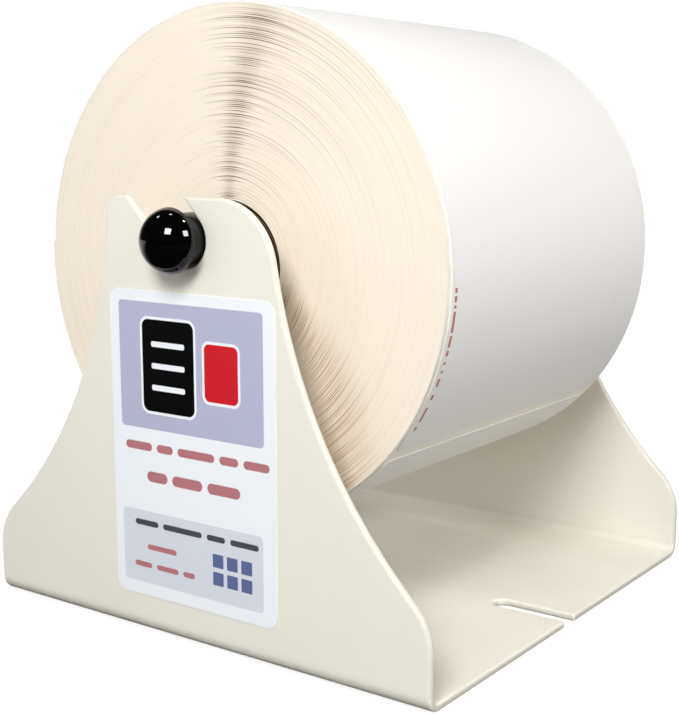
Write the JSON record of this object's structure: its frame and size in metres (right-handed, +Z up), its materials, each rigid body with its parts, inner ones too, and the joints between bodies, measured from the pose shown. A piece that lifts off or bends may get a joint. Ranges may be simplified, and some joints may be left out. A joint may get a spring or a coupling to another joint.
{
  "type": "label roll holder",
  "caption": "Bent sheet-metal desk holder for a label roll: flared side plates with slanted slots carry a lift-out axle with domed ends, and the roll spins on it.",
  "frame": {"origin": "middle of the base's underside, on the surface that the holder stands on", "axes": "+X along the axle, away from the plate with the sticker; -Y is the front, with the slot in the base; +Z up"},
  "size_m": [0.163, 0.141, 0.1567],
  "materials": {
    "powder_coat": "satin almond powder coat",
    "sticker_paper": "gloss coated paper",
    "black_tube": "satin black",
    "black_plug": "high gloss black",
    "core_board": "spiral wound board",
    "wound_paper": "slit paper edges",
    "backing_paper": "silicone coated, smooth",
    "label_paper": "matte thermal paper"
  },
  "bodies": {
    "frame": {"frame": "powder_coat", "side_sticker": "sticker_paper"},
    "axle": {"axle_tube": "black_tube", "left_end_plug": "black_plug", "right_end_plug": "black_plug"},
    "roll": {"roll_core": "core_board", "label_windings": "wound_paper", "liner_wrap": "backing_paper", "lower_label": "label_paper", "front_label": "label_paper", "rear_label": "label_paper"}
  },
  "joints": [
    {"name": "axle_lift", "type": "slide", "parent": "frame", "child": "axle", "axis": [0, 0.682, 0.7314], "range_m": [0, 0.03]},
    {"name": "roll_spin", "type": "hinge", "parent": "axle", "child": "roll", "pos_m": [0, -0.0006, 0.0937], "axis": [1, 0, 0], "continuous": true}
  ]
}
